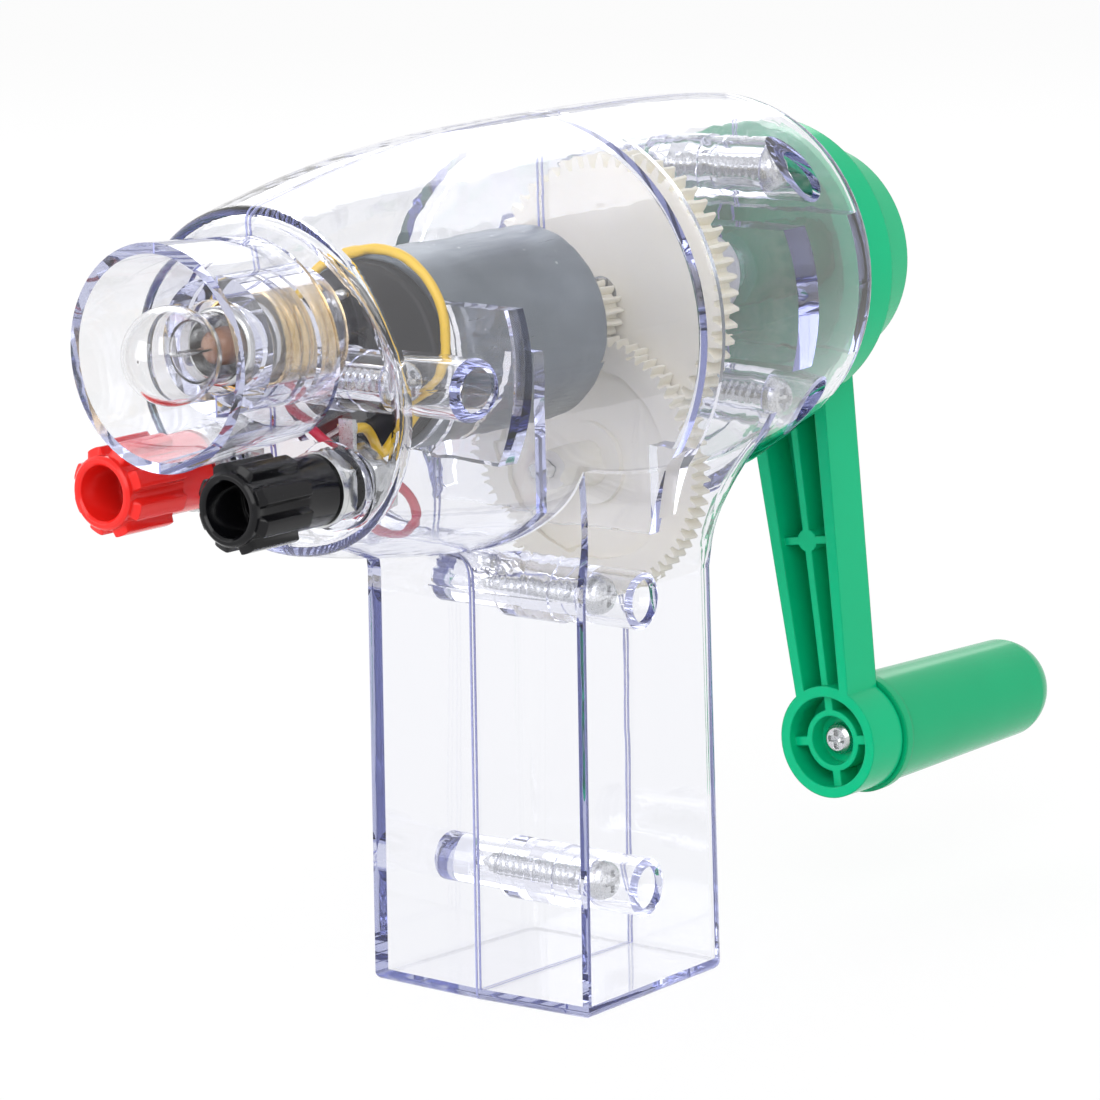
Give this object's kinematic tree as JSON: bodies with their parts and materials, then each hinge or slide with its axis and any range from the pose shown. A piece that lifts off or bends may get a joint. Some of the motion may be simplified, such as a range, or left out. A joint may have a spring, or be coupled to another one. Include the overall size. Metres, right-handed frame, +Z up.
{
  "type": "hand crank generator",
  "caption": "Clear-housed hand crank generator: green crank and grip behind, visible gears and motor, lamp in a round shroud above red and black binding posts.",
  "frame": {"origin": "centre of the flat foot under the handle, on the plane where the two half shells meet", "axes": "+X forward towards the lamp, +Y towards the half shell that the screws enter, +Z up"},
  "size_m": [0.1691, 0.0522, 0.1096],
  "materials": {
    "clear_plastic": "clear, polished",
    "green_plastic": "glossy moulded",
    "grip_plastic": "semi-gloss moulded",
    "ivory_plastic": "satin moulded",
    "white_plastic": "satin moulded",
    "black_plastic": "satin moulded",
    "black_knob_plastic": "glossy moulded",
    "red_knob_plastic": "glossy moulded",
    "can_steel": "satin zinc plated",
    "shaft_steel": "ground",
    "screw_steel": "zinc plated",
    "core_steel": "lacquered sheet stack",
    "ferrite": "dull",
    "copper": "turned",
    "bronze": "sintered",
    "brass": "bright",
    "nickel": "bright nickel plated",
    "tin": "tinned",
    "lamp_glass": "clear blown",
    "bead_glass": "clear",
    "lamp_insulator": "vitrified",
    "red_sleeve": "soft sleeve",
    "yellow_sleeve": "soft sleeve"
  },
  "bodies": {
    "frame": {"left_housing": "clear_plastic", "right_housing": "clear_plastic", "housing_screws": "screw_steel", "idler_axle": "shaft_steel", "crank_bushes": "white_plastic", "motor_can": "can_steel", "motor_end_cap": "black_plastic", "motor_terminals": "brass", "motor_magnets": "ferrite", "motor_bushes": "bronze", "lamp_glass": "lamp_glass", "lamp_cap": "nickel", "lamp_tip": "lamp_insulator", "lamp_stem": "bead_glass", "socket_shell": "brass", "lamp_contact": "bronze", "red_stud": "nickel", "red_nut": "nickel", "red_tag": "tin", "black_stud": "nickel", "black_nut": "nickel", "black_tag": "tin", "red_lead": "red_sleeve", "yellow_lead": "yellow_sleeve", "motor_links": "tin"},
    "crank": {"crank_gear": "ivory_plastic", "crank_shaft": "shaft_steel", "crank_arm": "green_plastic", "crank_screw": "screw_steel"},
    "idler": {"idler_gear": "ivory_plastic"},
    "rotor": {"motor_shaft": "shaft_steel", "armature": "core_steel", "commutator": "copper", "motor_pinion": "ivory_plastic"},
    "handgrip": {"grip": "grip_plastic", "grip_screw": "screw_steel"},
    "red_washer": {"red_clamp_washer": "nickel"},
    "black_washer": {"black_clamp_washer": "nickel"},
    "red_post_knob": {"red_knob": "red_knob_plastic"},
    "black_post_knob": {"black_knob": "black_knob_plastic"}
  },
  "joints": [
    {"name": "crank_turn", "type": "hinge", "parent": "frame", "child": "crank", "pos_m": [-0.03, 0, 0.0855], "axis": [1, 0, 0], "continuous": true},
    {"name": "idler_turn", "type": "hinge", "parent": "frame", "child": "idler", "pos_m": [-0.01, 0, 0.06471], "axis": [1, 0, 0], "continuous": true},
    {"name": "rotor_turn", "type": "hinge", "parent": "frame", "child": "rotor", "pos_m": [0.01, 0, 0.08391], "axis": [1, 0, 0], "continuous": true},
    {"name": "grip_turn", "type": "hinge", "parent": "crank", "child": "handgrip", "pos_m": [-0.07, 0.00886, 0.02242], "axis": [1, 0, 0], "continuous": true},
    {"name": "red_lift", "type": "slide", "parent": "frame", "child": "red_washer", "axis": [1, 0, 0], "range_m": [0, 0.003]},
    {"name": "red_turn", "type": "hinge", "parent": "red_washer", "child": "red_post_knob", "pos_m": [0.062, -0.0097, 0.0717], "axis": [1, 0, 0], "range_deg": [0, 1544.1]},
    {"name": "black_lift", "type": "slide", "parent": "frame", "child": "black_washer", "axis": [1, 0, 0], "range_m": [0, 0.003]},
    {"name": "black_turn", "type": "hinge", "parent": "black_washer", "child": "black_post_knob", "pos_m": [0.062, 0.0097, 0.0717], "axis": [1, 0, 0], "range_deg": [0, 1544.1]}
  ],
  "couplings": [
    {"joint": "idler_turn", "follows": "crank_turn", "ratio": -4.5},
    {"joint": "rotor_turn", "follows": "crank_turn", "ratio": 21.214},
    {"joint": "red_turn", "follows": "red_lift", "rad_per_m": 8976},
    {"joint": "black_turn", "follows": "black_lift", "rad_per_m": 8976}
  ]
}
